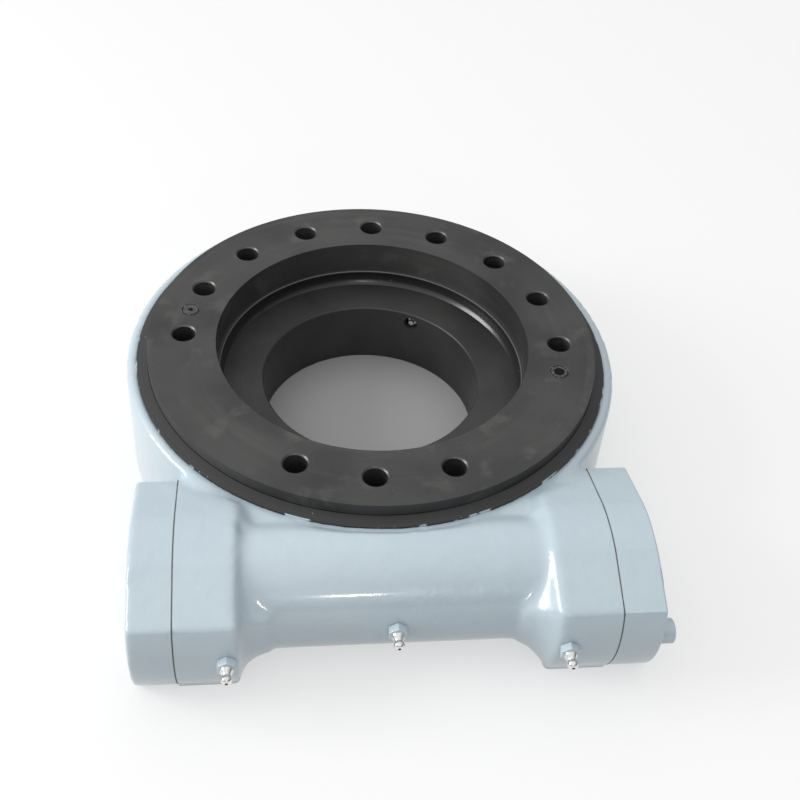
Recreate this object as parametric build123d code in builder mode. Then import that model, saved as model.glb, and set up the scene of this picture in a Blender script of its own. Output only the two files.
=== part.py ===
"""Worm-driven slew drive for a solar tracker.

A cast housing carries a fixed inner ring and, around it on crossed rollers, a turning
ring gear.  A worm across the front, held in two taper roller bearings, drives the gear.
Frame: origin on the bore axis at the lower mounting face, +Z up, X and Y through the output
bolt pattern of the ring gear.  The housing stands turned a few degrees under that pattern,
with the worm on the -Y side.  Pieces on the housing are drawn with the worm along X and
turned when they are saved.  Millimetres.
"""
from build123d import *
from math import atan, cos, degrees, pi, radians, sin, sqrt, tan
import os

os.makedirs("parts", exist_ok=True)

# ---------------------------------------------------------------- driving dimensions
# Heights above the lower mounting face
HEIGHT = 86.0             # top face of the ring gear
RIM_DROP = 12.0           # from there down to the painted rim of the housing
FLANGE_T = 8.5            # ring gear flange standing above the seal
FLOOR_T = 12.0            # housing floor
INNER_TOP_Z = 49.0        # flat top of the inner ring
RACE_Z = 36.0             # centre of the roller race
WORM_Z = 40.0             # worm axis

# Radii of the ring stack
BORE_R = 79.0             # centre bore through the inner ring
SPIGOT_W = 17.0           # wall of the spigot that passes the housing floor
LEDGE_W = 16.0            # from the spigot to the centre of the roller race
SEAL_W = 7.7              # outer seal
RIM_W = 7.0               # flat painted rim round the outer seal
SEAL_SEAT_D = 3.0         # how deep the outer seal sits in the rim
SEAL_STAND = 0.5          # its outer edge above the rim
INNER_SEAL_H = 11.0       # height of the inner seal in its groove
GROOVE_D = 2.0            # depth of that groove in the ring gear
GROOVE_RISE = 1.0         # its lower edge above the inner ring
LIP_TOP = 1.5             # reach of the inner seal past the bore of the gear: top,
LIP_WAIST = (1.2, 5.0)    # waist and its height above the inner ring,
LIP_FOOT = 4.0            # and foot
FLOOR_SEAL_IN = 3.0       # floor seal outside the centre of the roller race
FLOOR_SEAL_W = 5.0
FLOOR_GAP = 2.0           # ring gear above the housing floor
FLANGE_STEP = 2.0         # step under the flange of the ring gear

# Output bolt holes in the ring gear
BOLT_PCD = 270.0
BOLT_HOLE_R = 9.0
BOLT_DEPTH = 30.0
BOLT_STEP = 22.5          # degrees
BOLT_SLOTS = (0, 1, 2, 3, 4, 5, 6, 7, 8, 11, 12, 13)   # of sixteen
HOUSING_TURN = 3.8        # degrees that the housing stands turned under the bolt pattern

# Gearing
MODULE = 5.0
TEETH = 62
FACE_W = 32.0             # width of the gear teeth
NECK_Z = 64.0             # top of the groove between teeth and flange
NECK_IN = 1.0             # that groove below the tooth roots
GAP_OVER = 2.5            # tooth gap past each side of the teeth
GAP_OUT = 3.0             # and past their tips
WORM_PITCH_R = 27.0
THREAD_TURNS = 5.5        # a half turn past a whole number keeps thread and gap in mesh
BACKLASH = 1.0            # gap between flanks at the pitch line
PRESSURE = 20.0           # degrees
TIP_ROOM = 2.5            # chamber wall outside the teeth
WORM_ROOM = 1.5           # tube wall outside the thread
THREAD_SINK = 0.5         # thread below the worm's core

# Crossed rollers
ROLLER_D = 12.0
ROLLER_COUNT = 36
ROLLER_PLAY = 0.15

# Worm housing, end bosses and covers
JOINT_X = 135.0           # face of the end bosses
BOSS_X = 97.0             # inner end of the full boss section
TAPER_X = 78.0            # where the boss runs out into the tube
RUN_OUT = 40              # degrees that the boss narrows there
COVER_T = 27.0
EDGE_R = 1.5              # rounded outer edge of the covers
EDGE_BREAK = 0.8          # chamfer on bore and plug
BLIND_RECESS = 8.0        # recess in the left cover
GASKET_T = 0.5
# Outline of boss and cover: run from the worm axis (towards the bore is positive), height
BACK = (64.0, 70.0)       # top of the flat back face
TOP_BACK = (22.0, 82.0)
CROWN_Z = 84.0
TOP_FRONT = (-16.0, 82.0)
CORNER = (-54.0, 68.0)    # sharp corner between top slope and front face
FRONT = (-59.0, 38.0)
SOLE = (-44.0, 0.0)

# Worm bearings
CUP_R = 31.0
BEARING_H = 16.0          # section of each bearing, from its cup down to the shaft
CUP_W = 14.0
CUP_STEP = 3.0            # cup outside the inner side of the bearing
CUP_WALL = 8.0            # wall of the cup at the narrow end of its raceway
RACEWAY_RISE = 4.0        # from there to its wide end
CONE_OUT = 2.0            # cone past the inner side of the bearing
CONE_THIN = 2.0           # wall of the cone at its narrow end,
CONE_THICK = 5.0          # at its wide end
CONE_RIB = 6.0            # and at the rib
RIB_W = 3.0
BEARING_W = 17.0
BEARING_X = 88.0          # inner side of each bearing
NUT_W = 6.0               # lock nut outside the shaft
NUT_T = 8.0
NUT_SLOTS = (4.0, 5.0)    # length of a spanner slot, half of it in the nut, and width
SHAFT_OUT = 6.0           # shaft past the lock nut
SHAFT_WALL = 2.5          # wall round the motor socket
MOTOR_BORE_L = 42.0
PILOT_R = 26.0            # opening in the right cover
MOTOR_PCD = 70.0
MOTOR_HOLE_R = 4.2
MOTOR_HOLE_L = 18.0

# Small hardware
SCREW_R = 4.0
HEAD_R = 6.5
HEAD_H = 8.0
HEAD_SUNK = 1.0           # screw head below the face
SOCKET_R = 3.2
TAP_OVER = 1.0            # tapped hole past the screw
COVER_SCREWS = ((44.0, 18.0), (44.0, -24.0), (-40.0, 18.0), (-40.0, -24.0))   # from the worm axis
COVER_SCREW_L = 20.0      # grip in the housing
FLOOR_SCREWS = 12
FLOOR_SCREW_L = 12.0      # grip in the inner ring
FLOOR_SCREW_IN = 1.0      # inside the middle between spigot and race
BASE_HOLES = 12
BASE_HOLE_R = 5.1
BASE_HOLE_L = 24.0
PLUG_R = 8.0
PLUG_OUT = 11.0
PLUG_IN = 9.0             # threaded end in the cover
PLUG_SHOULDER = 2.0
PLUG_PLACE = (-46.0, -3.0)   # from the worm axis
NIPPLE_X = 104.0
NIPPLE_HEX = 11.0
NIPPLE_HEX_H = 6.0
NIPPLE_BODY = (3.0, 4.0)  # radius and height of body, neck and head
NIPPLE_NECK = (1.6, 2.0)
NIPPLE_HEAD = (2.6, 3.0)
NIPPLE_Z = 42.0
BORE_NIPPLE_ANGLE = 62.0
BORE_NIPPLE_DROP = 9.0    # below the top of the inner ring
BORE_NIPPLE_FOOT = (3.5, 3.0)
BORE_NIPPLE_HEAD = (2.0, 3.0)
NIPPLE_POCKET = 7.0
NIPPLE_POCKET_R = 5.5
NIPPLE_PLAY = 0.2         # nipple foot off the curved casting
PIN_R = 4.0
PIN_DEPTH = 22.0
PIN_SUNK = 0.4            # race plug below the face of the ring gear
PIN_SOCKET = 5.0
PIN_ANGLES = {"left": 168.75, "right": 347.0}

# Fits
RUN = 0.3                 # running gap between ring gear and housing parts
SEAT = 0.05               # radial play of a seated shaft or screw
SCREW_PLAY = 0.2          # cover screw in the cover
GASKET_PLAY = 0.4         # cover screw in the gasket, and its head in the cover
CUP_PLAY = 1.0            # opening of the gasket outside the cup
SEAL_FOOT_PLAY = 0.1      # inner seal above the lower edge of its groove

# ---------------------------------------------------------------- worked-out sizes
FLANGE_Z = HEIGHT - FLANGE_T
RIM_Z = HEIGHT - RIM_DROP
SPIGOT_R = BORE_R + SPIGOT_W
RACE_R = SPIGOT_R + LEDGE_W
BASE_PCD = 2 * BORE_R + SPIGOT_W
FLOOR_PCD = SPIGOT_R + RACE_R - 2 * FLOOR_SCREW_IN
TUBE_R = WORM_Z
GEAR_PITCH_R = MODULE * TEETH / 2
GEAR_TIP_R = GEAR_PITCH_R + MODULE
DEDENDUM = 1.25 * MODULE
GEAR_ROOT_R = GEAR_PITCH_R - DEDENDUM
NECK_R = GEAR_ROOT_R - NECK_IN
TEETH_LOW_Z = WORM_Z - FACE_W / 2
TEETH_HIGH_Z = WORM_Z + FACE_W / 2
WORM_Y = -(GEAR_PITCH_R + WORM_PITCH_R)
WORM_TIP_R = WORM_PITCH_R + MODULE
WORM_ROOT_R = WORM_PITCH_R - DEDENDUM
LEAD = pi * MODULE
LEAD_ANGLE = degrees(atan(LEAD / (2 * pi * WORM_PITCH_R)))
RING_R = GEAR_TIP_R       # the flange is as wide as the teeth, so that the ring drops in from above
SEAL_IN_R = RING_R + RUN
SEAL_R = SEAL_IN_R + SEAL_W
RIM_R = SEAL_R + RIM_W
CHAMBER_R = GEAR_TIP_R + TIP_ROOM
WORM_CHAMBER_R = WORM_TIP_R + WORM_ROOM
RACE_HALF = ROLLER_D / sqrt(2) + ROLLER_PLAY * sqrt(2)
SPLIT = 0.6               # half gap between inner ring and ring gear
RACE_TOP_Z = RACE_Z + RACE_HALF - SPLIT
RACE_LOW_Z = RACE_Z - RACE_HALF + SPLIT
GEAR_LOW_Z = FLOOR_T + FLOOR_GAP
GROOVE_R = RACE_R + GROOVE_D
GROOVE_LOW_Z = INNER_TOP_Z + GROOVE_RISE
GROOVE_TOP_Z = GROOVE_LOW_Z + INNER_SEAL_H
SEAL_SEAT_Z = RIM_Z - SEAL_SEAT_D
SEAL_TOP_Z = GROOVE_TOP_Z - SEAT
SIDES = {"left": -1, "right": 1}
COVER_IN_X = JOINT_X + GASKET_T
COVER_OUT_X = COVER_IN_X + COVER_T
SCREW_PLACES = [(WORM_Y + run, WORM_Z + rise) for run, rise in COVER_SCREWS]
PLUG_CENTRE = (WORM_Y + PLUG_PLACE[0], WORM_Z + PLUG_PLACE[1])
WORM_AXIS = Axis((0, WORM_Y, WORM_Z), (1, 0, 0))
CUP_X = BEARING_X + CUP_STEP
CONE_X = BEARING_X - CONE_OUT
RACEWAY_R = CUP_R - CUP_WALL
SHAFT_R = CUP_R - BEARING_H
NUT_R = SHAFT_R + NUT_W
MOTOR_BORE_R = SHAFT_R - SHAFT_WALL
NUT_X = CONE_X + BEARING_W
SHAFT_END_X = NUT_X + NUT_T + SHAFT_OUT
PLUG_THREAD_R = PLUG_R - PLUG_SHOULDER


def across(x):
    """Plane normal to the worm at station x, its own x along Y and its own y along Z."""
    return Plane(origin=(x, 0, 0), x_dir=(0, 1, 0), z_dir=(1, 0, 0))


def around_worm(x):
    """The same plane with its origin on the worm axis."""
    return Plane(origin=(x, WORM_Y, WORM_Z), x_dir=(0, 1, 0), z_dir=(1, 0, 0))


def boss_profile():
    """Outline shared by end bosses, gaskets and covers."""
    back, top_back, top_front, corner, front, sole = [
        (WORM_Y + run, height) for run, height in (BACK, TOP_BACK, TOP_FRONT, CORNER, FRONT, SOLE)
    ]
    crown = ((top_back[0] + top_front[0]) / 2, CROWN_Z)
    with BuildLine() as outline:
        Polyline(sole, (back[0], 0), back, top_back)
        ThreePointArc(top_back, crown, top_front)
        Line(top_front, corner)
        ThreePointArc(corner, front, sole)
    make_face(outline.line)


def save(part, name, turn=HOUSING_TURN):
    """Turn the piece with the housing, label it and write its STEP file."""
    placed = part.rotate(Axis.Z, turn)
    placed.label = name
    export_step(placed, f"parts/{name}.step")


def polar(radius, angle):
    """Point at a radius and an angle in degrees."""
    return (radius * cos(radians(angle)), radius * sin(radians(angle)))


# ---------------------------------------------------------------- housing
with BuildPart() as housing:
    # tub round the gear
    with BuildSketch(Plane.XZ):
        with BuildLine():
            Polyline((SPIGOT_R + SEAT, 0), (RIM_R, 0), (RIM_R, RIM_Z), (CHAMBER_R, RIM_Z),
                     (CHAMBER_R, FLOOR_T), (SPIGOT_R + SEAT, FLOOR_T), close=True)
        make_face()
    revolve(axis=Axis.Z)
    # worm tube and the two end bosses that run out into it
    with BuildSketch(around_worm(-JOINT_X)):
        Circle(TUBE_R)
    extrude(amount=2 * JOINT_X)
    for sign in SIDES.values():
        with BuildSketch(across(sign * JOINT_X)):
            boss_profile()
        extrude(amount=-sign * (JOINT_X - BOSS_X))
        with BuildSketch(across(sign * BOSS_X)):
            boss_profile()
        extrude(amount=-sign * (BOSS_X - TAPER_X), taper=RUN_OUT)
    # web that closes the wedge between tub and tube
    with BuildSketch():
        with Locations((0, (WORM_Y - RACE_R) / 2)):
            Rectangle(2 * BOSS_X, -WORM_Y - RACE_R)
    extrude(amount=RIM_Z)
    # the gear chamber, its open top, and the seat of the outer seal
    with BuildSketch(Plane.XY.offset(FLOOR_T)):
        Circle(CHAMBER_R)
    extrude(amount=HEIGHT, mode=Mode.SUBTRACT)
    with BuildSketch(Plane.XY.offset(RIM_Z)):
        Circle(RIM_R)
    extrude(amount=HEIGHT, mode=Mode.SUBTRACT)
    with BuildSketch(Plane.XY.offset(SEAL_SEAT_Z)):
        Circle(SEAL_R)
    extrude(amount=HEIGHT, mode=Mode.SUBTRACT)
    with BuildSketch():
        Circle(SPIGOT_R + SEAT)
    extrude(amount=FLOOR_T, mode=Mode.SUBTRACT)
    # worm chamber and bearing bores
    with BuildSketch(around_worm(-BEARING_X)):
        Circle(WORM_CHAMBER_R)
    extrude(amount=2 * BEARING_X, mode=Mode.SUBTRACT)
    with BuildSketch(around_worm(-JOINT_X)):
        Circle(CUP_R + SEAT)
    extrude(amount=2 * JOINT_X, mode=Mode.SUBTRACT)
    # clearance holes and head pockets for the floor screws
    with PolarLocations(FLOOR_PCD / 2, FLOOR_SCREWS):
        Cylinder(SCREW_R + SEAT, FLOOR_T, align=(Align.CENTER, Align.CENTER, Align.MIN), mode=Mode.SUBTRACT)
        Cylinder(HEAD_R + SEAT, HEAD_H, align=(Align.CENTER, Align.CENTER, Align.MIN), mode=Mode.SUBTRACT)
    # tapped holes for the cover screws
    for sign in SIDES.values():
        with BuildSketch(across(sign * JOINT_X)):
            with Locations(*SCREW_PLACES):
                Circle(SCREW_R + SEAT)
        extrude(amount=-sign * (COVER_SCREW_L + TAP_OVER), mode=Mode.SUBTRACT)
save(housing.part, "housing")

# ---------------------------------------------------------------- inner ring
with BuildPart() as inner_ring:
    with BuildSketch(Plane.XZ):
        with BuildLine():
            Polyline((BORE_R, 0), (SPIGOT_R, 0), (SPIGOT_R, FLOOR_T), (RACE_R - SPLIT, FLOOR_T),
                     (RACE_R - SPLIT, RACE_LOW_Z), (RACE_R - RACE_HALF, RACE_Z),
                     (RACE_R - SPLIT, RACE_TOP_Z), (RACE_R - SPLIT, INNER_TOP_Z),
                     (BORE_R, INNER_TOP_Z), close=True)
        make_face()
    revolve(axis=Axis.Z)
    bore_edges = inner_ring.edges().filter_by(GeomType.CIRCLE).group_by(Axis.Z)[-1].sort_by(SortBy.RADIUS)[:1]
    chamfer(bore_edges, EDGE_BREAK)
    with PolarLocations(BASE_PCD / 2, BASE_HOLES):
        Cylinder(BASE_HOLE_R, BASE_HOLE_L, align=(Align.CENTER, Align.CENTER, Align.MIN), mode=Mode.SUBTRACT)
    with Locations((0, 0, FLOOR_T)):
        with PolarLocations(FLOOR_PCD / 2, FLOOR_SCREWS):
            Cylinder(SCREW_R + SEAT, FLOOR_SCREW_L + TAP_OVER, align=(Align.CENTER, Align.CENTER, Align.MIN),
                     mode=Mode.SUBTRACT)
    # pocket that keeps the grease nipple out of the bore
    with BuildSketch(Plane(origin=(*polar(BORE_R - 1, BORE_NIPPLE_ANGLE), INNER_TOP_Z - BORE_NIPPLE_DROP),
                           z_dir=(*polar(1, BORE_NIPPLE_ANGLE), 0))):
        Circle(NIPPLE_POCKET_R)
    extrude(amount=NIPPLE_POCKET + 1, mode=Mode.SUBTRACT)
save(inner_ring.part, "inner_ring")

# ---------------------------------------------------------------- crossed rollers
with BuildPart() as race_rollers:
    for index in range(ROLLER_COUNT):
        angle = 360 / ROLLER_COUNT * index
        lean = 45 if index % 2 else -45
        tilt = radians(lean)
        axis_dir = (cos(radians(angle)) * sin(tilt), sin(radians(angle)) * sin(tilt), cos(tilt))
        with BuildSketch(Plane(origin=(*polar(RACE_R, angle), RACE_Z), z_dir=axis_dir)):
            Circle(ROLLER_D / 2 - ROLLER_PLAY)
        extrude(amount=ROLLER_D / 2 - 2 * ROLLER_PLAY, both=True)
save(race_rollers.part, "race_rollers")

# ---------------------------------------------------------------- ring gear
with BuildPart() as tooth_gap:
    gap_x = (cos(radians(LEAD_ANGLE)), 0, -sin(radians(LEAD_ANGLE)))
    gap_z = (sin(radians(LEAD_ANGLE)), 0, cos(radians(LEAD_ANGLE)))
    gap_half = LEAD * cos(radians(LEAD_ANGLE)) / 4
    flare = tan(radians(PRESSURE))
    with BuildSketch(Plane(origin=(0, -GEAR_PITCH_R, WORM_Z), x_dir=gap_x, z_dir=gap_z)):
        with BuildLine():
            outer = MODULE + GAP_OUT
            inner = DEDENDUM
            Polyline((-gap_half - outer * flare, -outer), (gap_half + outer * flare, -outer),
                     (gap_half - inner * flare, inner), (-gap_half + inner * flare, inner), close=True)
        make_face()
    extrude(amount=FACE_W / 2 + GAP_OVER, both=True)

with BuildPart() as ring_gear:
    with BuildSketch(Plane.XZ):
        with BuildLine():
            Polyline((RACE_R, HEIGHT), (RING_R, HEIGHT), (RING_R, FLANGE_Z), (RING_R - FLANGE_STEP, FLANGE_Z),
                     (RING_R - FLANGE_STEP, NECK_Z), (NECK_R, NECK_Z), (NECK_R, TEETH_HIGH_Z),
                     (GEAR_TIP_R, TEETH_HIGH_Z), (GEAR_TIP_R, TEETH_LOW_Z), (NECK_R, TEETH_LOW_Z),
                     (NECK_R, GEAR_LOW_Z), (RACE_R + SPLIT, GEAR_LOW_Z), (RACE_R + SPLIT, RACE_LOW_Z),
                     (RACE_R + RACE_HALF, RACE_Z), (RACE_R + SPLIT, RACE_TOP_Z),
                     (RACE_R + SPLIT, GROOVE_LOW_Z), (GROOVE_R, GROOVE_LOW_Z), (GROOVE_R, GROOVE_TOP_Z),
                     (RACE_R, GROOVE_TOP_Z), close=True)
        make_face()
    revolve(axis=Axis.Z)
    with PolarLocations(0, TEETH, start_angle=HOUSING_TURN):
        add(tooth_gap.part, mode=Mode.SUBTRACT)
    with BuildSketch(Plane.XY.offset(HEIGHT)):
        with Locations(*[polar(BOLT_PCD / 2, BOLT_STEP * slot) for slot in BOLT_SLOTS]):
            Circle(BOLT_HOLE_R)
    extrude(amount=-BOLT_DEPTH, mode=Mode.SUBTRACT)
    with BuildSketch(Plane.XY.offset(HEIGHT)):
        with Locations(*[polar(BOLT_PCD / 2, angle) for angle in PIN_ANGLES.values()]):
            Circle(PIN_R + SEAT)
    extrude(amount=-PIN_DEPTH, mode=Mode.SUBTRACT)
save(ring_gear.part, "ring_gear", turn=0)

for side, angle in PIN_ANGLES.items():
    with BuildPart() as pin:
        with BuildSketch(Plane.XY.offset(HEIGHT - PIN_DEPTH)):
            with Locations(polar(BOLT_PCD / 2, angle)):
                Circle(PIN_R)
        extrude(amount=PIN_DEPTH - PIN_SUNK)
        with BuildSketch(Plane.XY.offset(HEIGHT - PIN_SUNK)):
            with Locations(polar(BOLT_PCD / 2, angle)):
                RegularPolygon(PIN_R / 2, 6)
        extrude(amount=-PIN_SOCKET, mode=Mode.SUBTRACT)
    save(pin.part, f"{side}_race_plug", turn=0)

# ---------------------------------------------------------------- seals
with BuildPart() as inner_seal:
    with BuildSketch(Plane.XZ):
        with BuildLine():
            foot_z = GROOVE_LOW_Z + SEAL_FOOT_PLAY
            back_r = GROOVE_R - SEAT
            lip_top = (RACE_R - LIP_TOP, SEAL_TOP_Z)
            lip_foot = (RACE_R - LIP_FOOT, INNER_TOP_Z + RUN)
            Polyline((back_r, foot_z), (back_r, SEAL_TOP_Z), lip_top)
            ThreePointArc(lip_top, (RACE_R - LIP_WAIST[0], INNER_TOP_Z + LIP_WAIST[1]), lip_foot)
            Polyline(lip_foot, (RACE_R + RUN, INNER_TOP_Z + RUN), (RACE_R + RUN, foot_z), (back_r, foot_z))
        make_face()
    revolve(axis=Axis.Z)
save(inner_seal.part, "inner_seal")

with BuildPart() as outer_seal:
    with BuildSketch(Plane.XZ):
        with BuildLine():
            Polyline((SEAL_IN_R, SEAL_SEAT_Z), (SEAL_R - SEAT, SEAL_SEAT_Z),
                     (SEAL_R - SEAT, RIM_Z + SEAL_STAND), (SEAL_IN_R, FLANGE_Z - RUN), close=True)
        make_face()
    revolve(axis=Axis.Z)
save(outer_seal.part, "outer_seal")

with BuildPart() as floor_seal:
    with BuildSketch(Plane.XY.offset(FLOOR_T)):
        Circle(RACE_R + FLOOR_SEAL_IN + FLOOR_SEAL_W)
        Circle(RACE_R + FLOOR_SEAL_IN, mode=Mode.SUBTRACT)
    extrude(amount=GEAR_LOW_Z - FLOOR_T - RUN)
save(floor_seal.part, "floor_seal")

# ---------------------------------------------------------------- worm
with BuildPart() as worm:
    with BuildSketch(around_worm(0)):
        Circle(WORM_ROOT_R)
    extrude(amount=CONE_X, both=True)
    with BuildSketch(around_worm(0)):
        Circle(SHAFT_R)
    extrude(amount=SHAFT_END_X, both=True)
    with BuildLine() as thread_path:
        Helix(LEAD, THREAD_TURNS * LEAD, WORM_PITCH_R, center=(-THREAD_TURNS * LEAD / 2, WORM_Y, WORM_Z),
              direction=(1, 0, 0))
    start = thread_path.line @ 0
    outward = (start - Vector(start.X, WORM_Y, WORM_Z)).normalized()
    tooth_half = LEAD / 4 - BACKLASH / 2
    with BuildSketch(Plane(origin=start, x_dir=outward, z_dir=Vector(1, 0, 0).cross(outward))):
        with BuildLine():
            low = -DEDENDUM - THREAD_SINK
            high = MODULE
            Polyline((low, -tooth_half + low * flare), (high, -tooth_half + high * flare),
                     (high, tooth_half - high * flare), (low, tooth_half - low * flare), close=True)
        make_face()
    sweep(path=thread_path.line, is_frenet=True)
    # socket for the motor shaft
    with BuildSketch(around_worm(SHAFT_END_X)):
        Circle(MOTOR_BORE_R)
    extrude(amount=-MOTOR_BORE_L, mode=Mode.SUBTRACT)
save(worm.part, "worm")

# ---------------------------------------------------------------- worm bearings
for side, sign in SIDES.items():
    raceway = WORM_Y + RACEWAY_R
    with BuildPart() as cup:
        with BuildSketch(Plane.XY.offset(WORM_Z)):
            with BuildLine():
                Polyline((sign * CUP_X, WORM_Y + CUP_R), (sign * (CUP_X + CUP_W), WORM_Y + CUP_R),
                         (sign * (CUP_X + CUP_W), raceway), (sign * CUP_X, raceway + RACEWAY_RISE),
                         close=True)
            make_face()
        revolve(axis=WORM_AXIS)
    save(cup.part, f"{side}_bearing_cup")

    shaft = WORM_Y + SHAFT_R
    with BuildPart() as cone:
        with BuildSketch(Plane.XY.offset(WORM_Z)):
            with BuildLine():
                Polyline((sign * CONE_X, shaft + SEAT), (sign * NUT_X, shaft + SEAT),
                         (sign * NUT_X, shaft + CONE_THIN), (sign * (CONE_X + RIB_W), shaft + CONE_THICK),
                         (sign * CONE_X, shaft + CONE_RIB), close=True)
            make_face()
        revolve(axis=WORM_AXIS)
    save(cone.part, f"{side}_bearing_cone")

    with BuildPart() as lock_nut:
        with BuildSketch(around_worm(sign * NUT_X)):
            Circle(NUT_R)
            Circle(SHAFT_R + SEAT, mode=Mode.SUBTRACT)
            with PolarLocations(NUT_R, 4):
                Rectangle(*NUT_SLOTS, mode=Mode.SUBTRACT)
        extrude(amount=sign * NUT_T)
    save(lock_nut.part, f"{side}_lock_nut")

# ---------------------------------------------------------------- end covers and gaskets
for side, sign in SIDES.items():
    with BuildPart() as gasket:
        with BuildSketch(across(sign * JOINT_X)):
            boss_profile()
            with Locations((WORM_Y, WORM_Z)):
                Circle(CUP_R + CUP_PLAY, mode=Mode.SUBTRACT)
            with Locations(*SCREW_PLACES):
                Circle(SCREW_R + GASKET_PLAY, mode=Mode.SUBTRACT)
        extrude(amount=sign * GASKET_T)
    save(gasket.part, f"{side}_gasket")

    with BuildPart() as cover:
        with BuildSketch(across(sign * COVER_IN_X)):
            boss_profile()
        extrude(amount=sign * COVER_T)
        outer_face = cover.faces().sort_by(Axis.X)[-1 if sign > 0 else 0]
        fillet(outer_face.edges(), EDGE_R)
        # recess that clears the shaft end
        with BuildSketch(around_worm(sign * COVER_IN_X)):
            Circle(PILOT_R)
        extrude(amount=sign * (COVER_T if sign > 0 else BLIND_RECESS), mode=Mode.SUBTRACT)
        with BuildSketch(across(sign * COVER_IN_X)):
            with Locations(*SCREW_PLACES):
                Circle(SCREW_R + SCREW_PLAY)
        extrude(amount=sign * COVER_T, mode=Mode.SUBTRACT)
        with BuildSketch(across(sign * COVER_OUT_X)):
            with Locations(*SCREW_PLACES):
                Circle(HEAD_R + GASKET_PLAY)
        extrude(amount=-sign * (HEAD_H + HEAD_SUNK), mode=Mode.SUBTRACT)
        if sign > 0:
            with BuildSketch(around_worm(COVER_OUT_X)):
                with PolarLocations(MOTOR_PCD / 2, 4, start_angle=45):
                    Circle(MOTOR_HOLE_R)
            extrude(amount=-MOTOR_HOLE_L, mode=Mode.SUBTRACT)
            with BuildSketch(across(COVER_OUT_X)):
                with Locations(PLUG_CENTRE):
                    Circle(PLUG_THREAD_R + SEAT)
            extrude(amount=-(PLUG_IN + TAP_OVER), mode=Mode.SUBTRACT)
    save(cover.part, f"{side}_cover")

    with BuildPart() as cover_screws:
        head_x = COVER_OUT_X - HEAD_H - HEAD_SUNK
        with BuildSketch(across(sign * head_x)):
            with Locations(*SCREW_PLACES):
                Circle(HEAD_R)
        extrude(amount=sign * HEAD_H)
        with BuildSketch(across(sign * head_x)):
            with Locations(*SCREW_PLACES):
                Circle(SCREW_R)
        extrude(amount=-sign * (head_x - JOINT_X + COVER_SCREW_L))
        with BuildSketch(across(sign * (head_x + HEAD_H))):
            with Locations(*SCREW_PLACES):
                RegularPolygon(SOCKET_R, 6)
        extrude(amount=-sign * HEAD_H / 2, mode=Mode.SUBTRACT)
    save(cover_screws.part, f"{side}_cover_screws")

with BuildPart() as cover_plug:
    with BuildSketch(across(COVER_OUT_X)):
        with Locations(PLUG_CENTRE):
            Circle(PLUG_R)
    extrude(amount=PLUG_OUT)
    chamfer(cover_plug.faces().sort_by(Axis.X)[-1].edges(), EDGE_BREAK)
    with BuildSketch(across(COVER_OUT_X)):
        with Locations(PLUG_CENTRE):
            Circle(PLUG_THREAD_R)
    extrude(amount=-PLUG_IN)
save(cover_plug.part, "cover_plug")

# ---------------------------------------------------------------- floor screws
with BuildPart() as floor_screws:
    with BuildSketch(Plane.XY.offset(HEAD_SUNK)):
        with PolarLocations(FLOOR_PCD / 2, FLOOR_SCREWS):
            Circle(HEAD_R)
    extrude(amount=HEAD_H - HEAD_SUNK)
    with BuildSketch(Plane.XY.offset(HEAD_H)):
        with PolarLocations(FLOOR_PCD / 2, FLOOR_SCREWS):
            Circle(SCREW_R)
    extrude(amount=FLOOR_T - HEAD_H + FLOOR_SCREW_L)
    with BuildSketch(Plane.XY.offset(HEAD_SUNK)):
        with PolarLocations(FLOOR_PCD / 2, FLOOR_SCREWS):
            RegularPolygon(SOCKET_R, 6)
    extrude(amount=HEAD_H / 2, mode=Mode.SUBTRACT)
save(floor_screws.part, "floor_screws")


# ---------------------------------------------------------------- grease nipples
def front_y(x):
    """Y just off the casting's foremost line, on the tube or on a boss."""
    return WORM_Y - TUBE_R if abs(x) < TAPER_X else WORM_Y + FRONT[0] - NIPPLE_PLAY


NIPPLES = {"left": -NIPPLE_X, "middle": 0.0, "right": NIPPLE_X}
for place, x in NIPPLES.items():
    seat_y = front_y(x)
    with BuildPart() as nipple:
        outward_plane = Plane(origin=(x, seat_y, NIPPLE_Z), x_dir=(1, 0, 0), z_dir=(0, -1, 0))
        with BuildSketch(outward_plane):
            RegularPolygon(NIPPLE_HEX / 2, 6, major_radius=False)
        extrude(amount=NIPPLE_HEX_H)
        with BuildSketch(outward_plane.offset(NIPPLE_HEX_H)):
            Circle(NIPPLE_BODY[0])
        extrude(amount=NIPPLE_BODY[1], taper=8)
        with BuildSketch(outward_plane.offset(NIPPLE_HEX_H + NIPPLE_BODY[1])):
            Circle(NIPPLE_NECK[0])
        extrude(amount=NIPPLE_NECK[1])
        with BuildSketch(outward_plane.offset(NIPPLE_HEX_H + NIPPLE_BODY[1] + NIPPLE_NECK[1])):
            Circle(NIPPLE_HEAD[0])
        extrude(amount=NIPPLE_HEAD[1], taper=25)
    save(nipple.part, f"{place}_grease_nipple")

with BuildPart() as bore_nipple:
    bore_plane = Plane(
        origin=(*polar(BORE_R + NIPPLE_POCKET, BORE_NIPPLE_ANGLE), INNER_TOP_Z - BORE_NIPPLE_DROP),
        z_dir=(*polar(-1, BORE_NIPPLE_ANGLE), 0),
    )
    with BuildSketch(bore_plane):
        Circle(BORE_NIPPLE_FOOT[0])
    extrude(amount=BORE_NIPPLE_FOOT[1])
    with BuildSketch(bore_plane.offset(BORE_NIPPLE_FOOT[1])):
        Circle(BORE_NIPPLE_HEAD[0])
    extrude(amount=BORE_NIPPLE_HEAD[1])
save(bore_nipple.part, "bore_grease_nipple")
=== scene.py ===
import math

import bmesh
import bpy
from mathutils import Matrix, Vector


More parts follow.
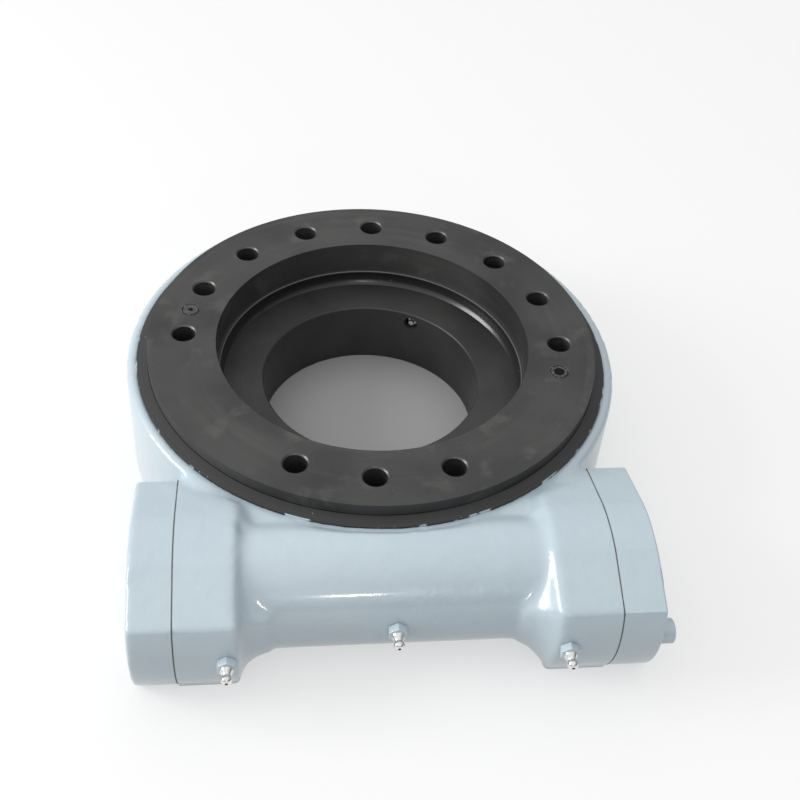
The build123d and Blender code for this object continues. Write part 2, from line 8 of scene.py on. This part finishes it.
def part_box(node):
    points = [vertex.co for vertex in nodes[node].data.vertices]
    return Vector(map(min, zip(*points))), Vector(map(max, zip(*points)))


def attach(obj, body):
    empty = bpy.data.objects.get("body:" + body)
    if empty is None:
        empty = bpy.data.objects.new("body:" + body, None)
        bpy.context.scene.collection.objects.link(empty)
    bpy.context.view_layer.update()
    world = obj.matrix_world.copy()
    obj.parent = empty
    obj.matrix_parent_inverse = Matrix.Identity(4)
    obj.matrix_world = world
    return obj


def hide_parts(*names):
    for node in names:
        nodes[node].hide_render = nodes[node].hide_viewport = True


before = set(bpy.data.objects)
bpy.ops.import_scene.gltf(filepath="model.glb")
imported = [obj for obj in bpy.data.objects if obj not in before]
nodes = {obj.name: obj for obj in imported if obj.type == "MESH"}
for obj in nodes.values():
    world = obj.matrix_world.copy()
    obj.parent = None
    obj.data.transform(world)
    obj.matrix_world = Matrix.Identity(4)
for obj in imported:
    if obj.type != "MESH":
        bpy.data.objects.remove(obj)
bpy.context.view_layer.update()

# ------------------------------------------------------------------ camera
# The drive is seen from the worm side, a little to the left and from well above,
# by a camera held slightly out of level.
scene = bpy.context.scene
scene.view_settings.view_transform = "Standard"

view_azimuth = math.radians(-4.87)
view_elevation = math.radians(43.51)
view_roll = math.radians(4.79)
eye = Vector((-0.0346, -0.6768, 0.6703))

back = Vector((
    math.sin(view_azimuth) * math.cos(view_elevation),
    -math.cos(view_azimuth) * math.cos(view_elevation),
    math.sin(view_elevation),
))
level_right = Vector((0, 0, 1)).cross(back).normalized()
level_up = back.cross(level_right)
right = level_right * math.cos(view_roll) + level_up * math.sin(view_roll)
up = back.cross(right)
camera_data = bpy.data.cameras.new("camera")
camera_data.lens = 55.97
camera_data.sensor_width = 36
camera = bpy.data.objects.new("camera", camera_data)
camera.matrix_world = Matrix.Translation(eye) @ Matrix((right, up, back)).transposed().to_4x4()
scene.collection.objects.link(camera)
scene.camera = camera


# ------------------------------------------------------------------ light
# A workshop under a bright roof: light comes mostly from above and little from the
# walls, so that upright faces are darker.  A window stands on the left, and a small lamp
# in front draws the thin highlights on the painted tube.
class Wire:
    """One value in a shader. Arithmetic on wires adds Math nodes."""

    def __init__(self, shading, socket):
        self.shading = shading
        self.socket = socket

    def __add__(self, other):
        return self.shading.math("ADD", self, other)

    def __sub__(self, other):
        return self.shading.math("SUBTRACT", self, other)

    def __rsub__(self, other):
        return self.shading.math("SUBTRACT", other, self)

    def __mul__(self, other):
        return self.shading.math("MULTIPLY", self, other)

    def __pow__(self, other):
        return self.shading.math("POWER", self, other)

    __radd__ = __add__
    __rmul__ = __mul__

    def fade(self, low, high):
        """0 below low and 1 above high, smooth between; falls where low is above high."""
        rising = low < high
        made = self.shading.node("ShaderNodeMapRange", {"interpolation_type": "SMOOTHSTEP"}, self,
                                 min(low, high), max(low, high), 0 if rising else 1, 1 if rising else 0)
        return self.shading.wire(made)


class Shading:
    """The nodes of one material, or of the sky."""

    def __init__(self, tree):
        self.tree = tree

    def node(self, kind, settings, *values, **named):
        """Add a node: its settings, then a value or wire for each socket, in order or by name."""
        made = self.tree.nodes.new(kind)
        for key, value in settings.items():
            setattr(made, key, value)
        sockets = list(zip(made.inputs, values))
        sockets += [(made.inputs[name], value) for name, value in named.items()]
        for socket, value in sockets:
            if isinstance(value, Wire):
                self.tree.links.new(value.socket, socket)
            elif value is not None:
                socket.default_value = value
        return made

    def wire(self, node, output=0):
        return Wire(self, node.outputs[output])

    def math(self, operation, *values):
        return self.wire(self.node("ShaderNodeMath", {"operation": operation}, *values))


world = bpy.data.worlds.new("sky")
world.use_nodes = True
sky = Shading(world.node_tree)
roof_way = (-0.30, 0.10, 0.95)
wall_facing, roof_facing = -0.1, 0.8
wall_brightness, roof_brightness = 0.14, 0.98
direction = sky.wire(sky.node("ShaderNodeTexCoord", {}), "Generated")
facing = sky.node("ShaderNodeVectorMath", {"operation": "DOT_PRODUCT"}, direction, roof_way)
brightness = sky.node("ShaderNodeMapRange", {}, sky.wire(facing, "Value"),
                      wall_facing, roof_facing, wall_brightness, roof_brightness)
roof = sky.node("ShaderNodeBackground", {}, (1, 1, 1, 1), sky.wire(brightness))
plain_white = sky.node("ShaderNodeBackground", {}, (1, 1, 1, 1), 1.0)
camera_ray = sky.wire(sky.node("ShaderNodeLightPath", {}), "Is Camera Ray")
either = sky.node("ShaderNodeMixShader", {}, camera_ray, sky.wire(roof), sky.wire(plain_white))
sky.tree.links.new(either.outputs[0], sky.tree.nodes["World Output"].inputs["Surface"])
scene.world = world


def square_lamp(name, place, aim, size, watts):
    """A square area light at a place, facing a point."""
    lamp = bpy.data.lights.new(name, "AREA")
    lamp.size = size
    lamp.energy = watts
    lamp_object = bpy.data.objects.new(name, lamp)
    lamp_object.location = place
    lamp_object.rotation_euler = (Vector(aim) - Vector(place)).to_track_quat("-Z", "Y").to_euler()
    scene.collection.objects.link(lamp_object)


square_lamp("window_light", (-1.7, -0.1, 0.85), (0, 0, 0.04), size=0.8, watts=19)
square_lamp("front_lamp", (0.22, -1.85, 0.88), (0, -0.2, 0.04), size=0.10, watts=2.2)


# ------------------------------------------------------------------ floor
# A pale sheet under the drive.  Away from the drive the camera sees it almost white, and
# it keeps the soft shadow that the drive throws on it.  Under the drive and through the bore
# it is painted a darker grey: painted shade.
class Finish(Shading):
    """A material on one Principled shader, wired from Object coordinates."""

    def __init__(self, name, **fixed):
        self.material = bpy.data.materials.new(name)
        self.material.use_nodes = True
        super().__init__(self.material.node_tree)
        self.shader = self.tree.nodes["Principled BSDF"]
        for socket, value in fixed.items():
            self.shader.inputs[socket.replace("_", " ")].default_value = value
        self.place = self.wire(self.node("ShaderNodeTexCoord", {}), "Object")
        split = self.node("ShaderNodeSeparateXYZ", {}, self.place)
        self.x, self.y, self.z = (self.wire(split, axis) for axis in "XYZ")

    def feed(self, socket, wire):
        """Join a wire to one of the shader's own sockets."""
        self.tree.links.new(wire.socket, self.shader.inputs[socket])

    def noise(self, scale, detail=3.0, place=None):
        """Cloudy pattern, about 0.5 in the middle; scale counts per metre."""
        made = self.node("ShaderNodeTexNoise", {}, place or self.place, Scale=scale, Detail=detail)
        return self.wire(made, "Fac")

    def specks(self, per_metre, size):
        """1 on small scattered dots, 0 elsewhere."""
        made = self.node("ShaderNodeTexVoronoi", {}, self.place, Scale=per_metre)
        return self.wire(made, "Distance").fade(size, size * 0.6)

    def stretched(self, x, y, z):
        """Cloud on scaled coordinates, drawn out along the one that is scaled least."""
        return self.noise(1.0, 4.0, self.wire(self.node("ShaderNodeCombineXYZ", {}, x, y, z)))

    def radius(self):
        """Distance from the bore axis, in metres."""
        return (self.x * self.x + self.y * self.y) ** 0.5

    def turning(self, across, along):
        """Cloud drawn out round the bore axis, like the marks that a lathe leaves."""
        angle = self.math("ARCTAN2", self.y, self.x)
        return self.stretched(self.radius() * across, angle * along, self.z * across)

    def blend(self, mask, first, second):
        """Colour that goes from first to second as the mask rises; each may be a wire."""
        first, second = (colour if isinstance(colour, Wire) else (*colour, 1)
                         for colour in (first, second))
        unused = [None] * 5     # the node's sockets for mixing numbers and vectors
        made = self.node("ShaderNodeMix", {"data_type": "RGBA"}, mask, *unused, first, second)
        return self.wire(made, 2)

    def bump(self, height, depth):
        """Raise the surface by height times depth, in metres."""
        made = self.node("ShaderNodeBump", {}, Strength=1.0, Distance=depth, Height=height)
        self.feed("Normal", self.wire(made, "Normal"))


sheet = Finish("pale_sheet", Roughness=0.9)
ray = sheet.node("ShaderNodeLightPath", {})
seen_bare = sheet.math("MAXIMUM", sheet.wire(ray, "Is Camera Ray"), sheet.wire(ray, "Is Glossy Ray"))
# Near the drive and through the bore the camera sees the sheet in dark grey: painted shade. Light that
# bounces off the sheet sees that grey everywhere, so the sheet sends little light up onto the drive's
# lower faces.
seen_bare = seen_bare * sheet.radius().fade(0.08, 0.16)
painted_shade_grey = sheet.blend(sheet.noise(3.0), (0.40, 0.40, 0.40), (0.44, 0.44, 0.44))
sheet.feed("Base Color", sheet.blend(seen_bare, painted_shade_grey, (0.92, 0.92, 0.92)))
white_share = 0.55
glow = sheet.node("ShaderNodeEmission", {}, (1, 1, 1, 1), 1.0)
whitened = sheet.node("ShaderNodeMixShader", {}, seen_bare * white_share,
                      sheet.wire(sheet.shader), sheet.wire(glow))
sheet.tree.links.new(whitened.outputs[0], sheet.tree.nodes["Material Output"].inputs["Surface"])

floor_reach = 6
floor_drop = 0.0005
floor_mesh = bmesh.new()
bmesh.ops.create_grid(floor_mesh, x_segments=1, y_segments=1, size=floor_reach)
floor_data = bpy.data.meshes.new("floor")
floor_mesh.to_mesh(floor_data)
floor_mesh.free()
floor_data.transform(Matrix.Translation((0, 0, -floor_drop)))
floor_data.materials.append(sheet.material)
floor = bpy.data.objects.new("floor", floor_data)
scene.collection.objects.link(floor)

# ------------------------------------------------------------------ cast housing
# Grey iron casting: a round tub, the worm tube across its front and two end bosses that
# run out into the tube in wide coves.  It is painted all over in blue-grey gloss enamel.
housing_turn = math.radians(3.8)
cos_turn, sin_turn = math.cos(housing_turn), math.sin(housing_turn)
worm_way = Vector((cos_turn, sin_turn, 0))
bore_way = Vector((-sin_turn, cos_turn, 0))
cover_joint = 0.135
gasket = 0.0005
tub_edge = -0.117
paint_light = (0.54, 0.635, 0.695)
paint_deep = (0.50, 0.60, 0.665)
grime = (0.16, 0.165, 0.16)

# Gloss enamel on rough iron, with dirt caught in the cover joints in front of the tub.
enamel = Finish("blue_grey_enamel", Coat_Weight=0.5, Coat_Roughness=0.08)
along_worm = enamel.x * cos_turn + enamel.y * sin_turn
across_worm = enamel.y * cos_turn - enamel.x * sin_turn
from_joint = enamel.math("ABSOLUTE", enamel.math("ABSOLUTE", along_worm) - (cover_joint + gasket / 2))
seam = from_joint.fade(0.0007, 0.0003) * across_worm.fade(tub_edge, tub_edge - 0.002)
seam_dirt = seam * (enamel.noise(140.0).fade(0.25, 0.5) * 0.5 + 0.35)
smears = enamel.noise(60.0, 5.0).fade(0.70, 0.78) * 0.075
dirt = enamel.math("MAXIMUM", seam_dirt, smears)
clean_paint = enamel.blend(enamel.noise(9.0, 4.0).fade(0.35, 0.65), paint_light, paint_deep)
enamel.feed("Base Color", enamel.blend(dirt, clean_paint, grime))
enamel.feed("Roughness", enamel.noise(30.0) * 0.16 + 0.22 + dirt * 0.3)
enamel.bump(enamel.noise(900.0, 2.0) * 0.12 + enamel.noise(70.0, 3.0) * 0.88, 0.0006)

# The casting's soft outside: the plain solid is rebuilt in fine even faces and its corners
# are worn round, as a foundry pattern leaves them.  It is drawn out past its machined faces
# first and cut back to them afterwards, so that those stay sharp and flat.
behind_bosses = -0.114
in_front_of_tub = -0.164
tub_mouth = 0.1715
cove_foot, cove_top = 0.078, 0.097
cove_cuts = (0.0784, 0.080, 0.082, 0.085, 0.088, 0.091, 0.094)
left_cove, right_cove = 1.0, 0.5
overrun = 0.006
flat_within = 0.0001


def hollow_coves(shape):
    """Bend the straight run-out of each boss into a cove that ends in a crease."""
    for station in cove_cuts:
        for way in (worm_way, -worm_way):
            bmesh.ops.bisect_plane(shape, geom=shape.verts[:] + shape.edges[:] + shape.faces[:],
                                   plane_co=way * station, plane_no=way)
    for vertex in shape.verts:
        along = vertex.co.dot(worm_way)
        share = (abs(along) - cove_foot) / (cove_top - cove_foot)
        if 0 < share < 1 and vertex.co.dot(bore_way) < in_front_of_tub:
            depth = left_cove if along < 0 else right_cove
            moved = share + depth * (math.sqrt(2 * share - share * share) - share)
            moved = cove_foot + (cove_top - cove_foot) * moved
            vertex.co += worm_way * (math.copysign(moved, along) - along)


def is_machined(point, way):
    """A base is machined all over, and a joint face only at the bosses."""
    return way.z != 0 or point.dot(bore_way) < behind_bosses


def cut_back(soft, face_point, way):
    """Cut a casting to one machined face and close it with a flat one."""
    ends = [face for face in soft.faces if is_machined(face.calc_center_median(), way)]
    near = ends + list({edge for face in ends for edge in face.edges})
    near += list({vertex for face in ends for vertex in face.verts})
    cut = bmesh.ops.bisect_plane(soft, geom=near, plane_co=face_point, plane_no=way, clear_outer=True)
    rim_edges = [part for part in cut["geom_cut"] if isinstance(part, bmesh.types.BMEdge)]
    bmesh.ops.triangle_fill(soft, use_beauty=True, edges=rim_edges)


def shade_round(shape, crease_from):
    """Shade the faces as one smooth skin, but for edges that turn by more than an angle."""
    for face in shape.faces:
        face.smooth = True
    for edge in shape.edges:
        if len(edge.link_faces) == 2 and edge.calc_face_angle(0) > crease_from:
            edge.smooth = False


def cast(node_name, grain, rounds, machined, coved=False):
    """A soft-cornered copy of a CAD node. Machined faces are given as (point, outward way)."""
    data = nodes[node_name].data.copy()
    made = bpy.data.objects.new(f"{node_name}_casting", data)
    scene.collection.objects.link(made)
    shape = bmesh.new()
    shape.from_mesh(data)
    bmesh.ops.remove_doubles(shape, verts=shape.verts, dist=0.00001)
    if coved:
        hollow_coves(shape)
    for face_point, way in machined:
        for vertex in shape.verts:
            height = (vertex.co - face_point).dot(way)
            if abs(height) < flat_within and is_machined(vertex.co, way):
                vertex.co += way * overrun
    shape.to_mesh(data)
    shape.free()

    remesh = made.modifiers.new("even_faces", "REMESH")
    remesh.mode = "VOXEL"
    remesh.voxel_size = grain
    data = bpy.data.meshes.new_from_object(made.evaluated_get(bpy.context.evaluated_depsgraph_get()))
    made.modifiers.clear()
    made.data = data

    soft = bmesh.new()
    soft.from_mesh(data)
    skin = [vertex for vertex in soft.verts if math.hypot(vertex.co.x, vertex.co.y) > tub_mouth]
    for _ in range(rounds):
        bmesh.ops.smooth_vert(soft, verts=skin, factor=0.5,
                              use_axis_x=True, use_axis_y=True, use_axis_z=True)
    for face_point, way in machined:
        cut_back(soft, face_point, way)
    bmesh.ops.recalc_face_normals(soft, faces=soft.faces)
    shade_round(soft, crease_from=math.radians(60))
    soft.to_mesh(data)
    soft.free()
    data.materials.clear()
    data.materials.append(enamel.material)
    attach(made, "fixed_frame")
    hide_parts(node_name)


cast("housing", grain=0.0022, rounds=5, coved=True, machined=[
    (worm_way * cover_joint, worm_way),
    (worm_way * -cover_joint, -worm_way),
    (Vector(), Vector((0, 0, -1))),
])


# ------------------------------------------------------------------ end covers
# Two iron covers close the bearing ends of the tube.  They are painted with the housing,
# with a sheet gasket between that shows as a thin dark line.
def dress(node_name, finish):
    """Give a CAD node its finish."""
    mesh = nodes[node_name].data
    mesh.materials.clear()
    mesh.materials.append(finish.material)


cast("left_cover", grain=0.0013, rounds=9, machined=[(worm_way * -(cover_joint + gasket), worm_way)])
dress("right_cover", enamel)
dress("cover_plug", enamel)
gasket_sheet = Finish("gasket_sheet", Roughness=0.8)
fibres = gasket_sheet.noise(700.0)
gasket_sheet.feed("Base Color", gasket_sheet.blend(fibres, (0.05, 0.055, 0.06), (0.12, 0.13, 0.135)))
for side in ("left", "right"):
    dress(f"{side}_gasket", gasket_sheet)

# ------------------------------------------------------------------ ring gear
# Forged steel, turned and then blackened.  The lathe's marks run round it, and handling
# has left faint oily smears and a little pale dust on the top.
blackened = Finish("blackened_steel", Metallic=0.35, Specular_IOR_Level=0.45)
marks = blackened.turning(1600.0, 2.0)
smudges = blackened.noise(14.0, 5.0)
wide_bands = blackened.turning(120.0, 1.2)
rubs = blackened.noise(45.0, 6.0).fade(0.55, 0.70)
dust = blackened.specks(420.0, 0.10) * blackened.noise(22.0).fade(0.52, 0.62)
tone = blackened.blend(smudges.fade(0.3, 0.7), (0.040, 0.040, 0.040), (0.072, 0.072, 0.071))
tone = blackened.blend(wide_bands.fade(0.5, 0.75) * 0.35, tone, (0.105, 0.103, 0.100))
tone = blackened.blend(rubs * 0.45, tone, (0.120, 0.120, 0.116))
blackened.feed("Base Color", blackened.blend(dust * 0.5, tone, (0.42, 0.42, 0.40)))
blackened.feed("Roughness", marks * 0.18 + smudges * 0.14 + 0.34)
blackened.bump(marks * 0.75 + blackened.noise(600.0) * 0.25, 0.00012)
dress("ring_gear", blackened)

# The bolt holes are broken at the edge with a countersink, which catches the light.
flange_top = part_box("ring_gear")[1][2]
bolt_circle = 0.135
bolt_radius = 0.009
bolt_slots = (0, 1, 2, 3, 4, 5, 6, 7, 8, 11, 12, 13)
slot_angle = math.radians(22.5)


def piece(name, shape, finish, body, crease_from=math.radians(35)):
    """Turn a finished bmesh into an object that rides on a body."""
    bmesh.ops.remove_doubles(shape, verts=shape.verts, dist=0.000001)
    bmesh.ops.recalc_face_normals(shape, faces=shape.faces)
    shade_round(shape, crease_from)
    data = bpy.data.meshes.new(name)
    shape.to_mesh(data)
    shape.free()
    data.materials.append(finish.material)
    made = bpy.data.objects.new(name, data)
    scene.collection.objects.link(made)
    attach(made, body)
    return made


def turned_ring(shape, outline, centre, axis=(0, 0, 1), steps=48):
    """Spin a closed outline of (radius, height) points about an axis through a centre."""
    axis = Vector(axis).normalized()
    side = axis.orthogonal().normalized()
    centre = Vector(centre)
    points = [shape.verts.new(centre + side * radius + axis * height) for radius, height in outline]
    edges = [shape.edges.new((points[i - 1], points[i])) for i in range(len(points))]
    bmesh.ops.spin(shape, geom=points + edges, cent=centre, axis=axis, dvec=(0, 0, 0),
                   angle=math.tau, steps=steps, use_merge=True, use_normal_flip=False)


countersinks = bmesh.new()
for bolt in bolt_slots:
    angle = bolt * slot_angle
    turned_ring(countersinks, [
        (bolt_radius - 0.0009, -0.0010),
        (bolt_radius + 0.0001, 0.00006),
        (bolt_radius + 0.0001, -0.0014),
    ], (bolt_circle * math.cos(angle), bolt_circle * math.sin(angle), flange_top))
broken_edge = Finish("broken_edge", Metallic=0.7)
edge_marks = broken_edge.noise(500.0)
broken_edge.feed("Base Color", broken_edge.blend(edge_marks, (0.07, 0.07, 0.07), (0.16, 0.16, 0.155)))
broken_edge.feed("Roughness", edge_marks * 0.2 + 0.3)
piece("bolt_hole_countersinks", countersinks, broken_edge, "turning_ring")

# ------------------------------------------------------------------ race plugs
# Two steel plugs close the filling holes of the roller race.  Each is staked in three
# places with a punch, so that it can't turn.  The left one has a small round hole in its
# middle, and the right one a wide socket with worn corners.  The groove round each plug
# and the hole in it are drawn as near-black discs: painted shade, for recesses that are
# only a fraction of a millimetre deep.
plug_steel = Finish("staked_steel", Metallic=0.35)
plug_cloud = plug_steel.noise(500.0)
plug_tone = plug_steel.blend(plug_cloud.fade(0.35, 0.65), (0.045, 0.045, 0.045), (0.110, 0.110, 0.108))
plug_steel.feed("Base Color", plug_tone)
plug_steel.feed("Roughness", plug_cloud * 0.3 + 0.35)
# Near-black, barely glossy discs set in the shallow groove and hole: painted shade.
plug_shade = Finish("plug_painted_shade", Roughness=0.8, Specular_IOR_Level=0.1)
plug_shade.feed("Base Color", plug_shade.blend(plug_shade.noise(800.0), (0.004, 0.004, 0.004), (0.014, 0.014, 0.014)))
plug_sink = 0.0006
dent_radius = 0.0009
dent_flatness = 0.45


def middle_of(node_name):
    """Middle of a CAD node's box."""
    low, high = (Vector(corner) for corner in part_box(node_name))
    return (low + high) / 2


for side, rim, hole, hole_sides in (("left", 0.0064, 0.0017, 24), ("right", 0.0068, 0.0038, 5)):
    middle = middle_of(f"{side}_race_plug")
    middle.z = flange_top
    stake = bmesh.new()
    turned_ring(stake, [
        (rim + 0.0005, -plug_sink), (rim + 0.0003, 0.0002), (rim, 0.0003),
        (rim - 0.0003, 0.00005), (rim - 0.0003, -plug_sink),
    ], middle, steps=40)
    turned_ring(stake, [
        (rim - 0.0009, -plug_sink), (rim - 0.0009, 0.00005), (rim - 0.0012, 0.0003),
        (hole + 0.0006, 0.0003), (hole, 0.0001), (hole, -plug_sink),
    ], middle, steps=40)
    for third in range(3):
        angle = math.radians(20 + 120 * third)
        out = Vector((math.cos(angle), math.sin(angle), 0)) * (rim - 0.0004)
        flattened = Matrix.Translation(middle + out) @ Matrix.Scale(dent_flatness, 4, (0, 0, 1))
        bmesh.ops.create_icosphere(stake, subdivisions=2, radius=dent_radius, matrix=flattened)
    piece(f"{side}_plug_staking", stake, plug_steel, "turning_ring")
    # The painted shade discs: one under the groove round the plug, one in its hole.
    plug_shade_shape = bmesh.new()
    for radius, sides, depth, lowered in ((rim, 40, 0.0005, 0.00022), (hole, hole_sides, 0.0006, 0.0001)):
        bmesh.ops.create_cone(plug_shade_shape, cap_ends=True, segments=sides, radius1=radius, radius2=radius,
                              depth=depth, matrix=Matrix.Translation(middle - Vector((0, 0, lowered))))
    piece(f"{side}_plug_painted_shade", plug_shade_shape, plug_shade, "turning_ring")
    dress(f"{side}_race_plug", plug_steel)

# ------------------------------------------------------------------ inner ring
# The fixed ring inside, blackened like the gear, with a dull turned top.  Its colour is
# darker than the gear's: partly the grease it is still wet with, and partly painted shade
# for lying deep in the drive.
greased = Finish("greased_steel", Metallic=0.35, Specular_IOR_Level=0.5)
inner_marks = greased.turning(1300.0, 2.0)
film = greased.noise(18.0, 4.0)
crumbs = greased.specks(520.0, 0.09) * greased.noise(30.0).fade(0.5, 0.6)
# Darker than the gear's tone: grease, and painted shade for the ring's depth in the drive.
grease_and_shade_tone = greased.blend(film.fade(0.3, 0.7), (0.036, 0.036, 0.036), (0.058, 0.057, 0.056))
greased.feed("Base Color", greased.blend(crumbs * 0.4, grease_and_shade_tone, (0.30, 0.30, 0.29)))
greased.feed("Roughness", inner_marks * 0.2 + film * 0.16 + 0.30)
greased.bump(inner_marks, 0.0001)
dress("inner_ring", greased)

# ------------------------------------------------------------------ seals
# Black nitrile rubber.  The inner seal is a deep glossy band with dust on it; the outer
# one slopes between the gear's flange and the painted rim, and has flecks of overspray.
nitrile = Finish("black_nitrile", Specular_IOR_Level=0.55, Coat_Weight=0.4, Coat_Roughness=0.22)
lint = nitrile.specks(300.0, 0.07) * nitrile.noise(40.0).fade(0.50, 0.60)
ripple = nitrile.noise(16.0, 3.0)
nitrile.feed("Base Color", nitrile.blend(lint, (0.012, 0.012, 0.013), (0.45, 0.45, 0.43)))
nitrile.feed("Roughness", ripple * 0.14 + 0.22 + lint * 0.4)
nitrile.bump(ripple, 0.0003)
dress("inner_seal", nitrile)
dress("floor_seal", nitrile)

# The inner seal's lip is a glossy bead that stands out of a groove in the gear.
gear_groove = 0.112
lip_high = 0.0016
lip_lift = 0.0004
seal_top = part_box("inner_seal")[1][2]
lip = bmesh.new()
turned_ring(lip, [
    (gear_groove + 0.0005, 0), (gear_groove - 0.0016, 0), (gear_groove - 0.0022, -0.0005),
    (gear_groove - 0.0022, -0.0011), (gear_groove - 0.0016, -lip_high), (gear_groove + 0.0005, -lip_high),
], (0, 0, seal_top + lip_lift), steps=160)
lip_rubber = Finish("seal_lip", Specular_IOR_Level=0.7, Coat_Weight=0.8, Coat_Roughness=0.05)
lip_cloud = lip_rubber.noise(30.0)
lip_rubber.feed("Base Color", lip_rubber.blend(lip_cloud, (0.03, 0.03, 0.031), (0.07, 0.07, 0.07)))
lip_rubber.feed("Roughness", lip_cloud * 0.15 + 0.12)
piece("inner_seal_lip", lip, lip_rubber, "turning_ring")

dull_seal = Finish("dull_seal", Specular_IOR_Level=0.4)
seal_marks = dull_seal.turning(900.0, 3.0)
edge_paint = dull_seal.radius().fade(0.1672, 0.1679) * dull_seal.noise(60.0, 4.0).fade(0.58, 0.64)
overspray = dull_seal.math("MAXIMUM", edge_paint, dull_seal.specks(160.0, 0.05))
seal_tone = dull_seal.blend(seal_marks, (0.018, 0.018, 0.019), (0.045, 0.045, 0.046))
dull_seal.feed("Base Color", dull_seal.blend(overspray, seal_tone, paint_light))
dull_seal.feed("Roughness", seal_marks * 0.2 + 0.28)
dull_seal.bump(seal_marks, 0.00015)
dress("outer_seal", dull_seal)

# ------------------------------------------------------------------ grease nipples
# Three nipples stand in front, on the bosses and the tube, and one in the bore.  The outer
# ones have a hexagon that was painted over with the housing, and a plated neck and ball
# head with a small grease hole.
plated = Finish("zinc_plate", Metallic=1.0)
spangle = plated.noise(900.0)
plated.feed("Base Color", plated.blend(spangle, (0.70, 0.70, 0.68), (0.86, 0.86, 0.85)))
plated.feed("Roughness", spangle * 0.15 + 0.14)
hexagon_across = 0.0114
hexagon_high = 0.0055
foot_below_middle = 0.0075
outwards = -bore_way
stand = outwards.to_track_quat("Z", "Y").to_matrix().to_4x4()
for place in ("left", "middle", "right"):
    foot = middle_of(f"{place}_grease_nipple") - outwards * foot_below_middle
    corner_radius = hexagon_across / math.sqrt(3)
    hexagon = bmesh.new()
    bmesh.ops.create_cone(hexagon, cap_ends=True, segments=6, radius1=corner_radius, radius2=corner_radius,
                          depth=hexagon_high,
                          matrix=Matrix.Translation(foot + outwards * hexagon_high / 2) @ stand)
    bmesh.ops.bevel(hexagon, geom=hexagon.edges[:], offset=0.0006, segments=3, profile=0.5,
                    affect="EDGES", material=-1)
    painted = piece(f"{place}_nipple_hexagon", hexagon, enamel, "fixed_frame")
    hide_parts(f"{place}_grease_nipple")
    head = bmesh.new()
    turned_ring(head, [
        (0.0009, 0.0050), (0.0043, 0.0050), (0.0043, 0.0064), (0.0040, 0.0070), (0.0031, 0.0086),
        (0.0026, 0.0096), (0.0026, 0.0102), (0.0031, 0.0110), (0.0035, 0.0121), (0.0034, 0.0134),
        (0.0027, 0.0145), (0.0017, 0.0151), (0.0010, 0.0151), (0.0009, 0.0144),
    ], foot, outwards, steps=40)
    piece(f"{place}_nipple_head", head, plated, "fixed_frame", math.radians(50))
dress("bore_grease_nipple", plated)

# ------------------------------------------------------------------ screws
# Socket screws, blackened in oil: four sink into each cover, and twelve more hold the
# inner ring down to the housing floor from below.
oiled = Finish("oil_blackened", Metallic=0.6)
oil_cloud = oiled.noise(300.0)
oiled.feed("Base Color", oiled.blend(oil_cloud, (0.015, 0.015, 0.016), (0.05, 0.05, 0.05)))
oiled.feed("Roughness", oil_cloud * 0.25 + 0.28)
for screws in ("left_cover_screws", "right_cover_screws", "floor_screws"):
    dress(screws, oiled)

# ------------------------------------------------------------------ worm and bearings
# Ground steel inside the tube: the worm with its motor socket, two taper roller bearings
# and their lock nuts.  Only the socket end shows, through the right cover.
ground = Finish("ground_steel", Metallic=1.0)
grinding = ground.stretched(ground.x * 1500.0, ground.y * 120.0, ground.z * 120.0)
stain = ground.noise(35.0)
ground.feed("Base Color", ground.blend(stain.fade(0.4, 0.7), (0.55, 0.55, 0.54), (0.36, 0.34, 0.31)))
ground.feed("Roughness", grinding * 0.18 + 0.22)
ground.bump(grinding, 0.00005)
for steel in ("worm", "race_rollers"):
    dress(steel, ground)
for side in ("left", "right"):
    for part in ("bearing_cup", "bearing_cone", "lock_nut"):
        dress(f"{side}_{part}", ground)
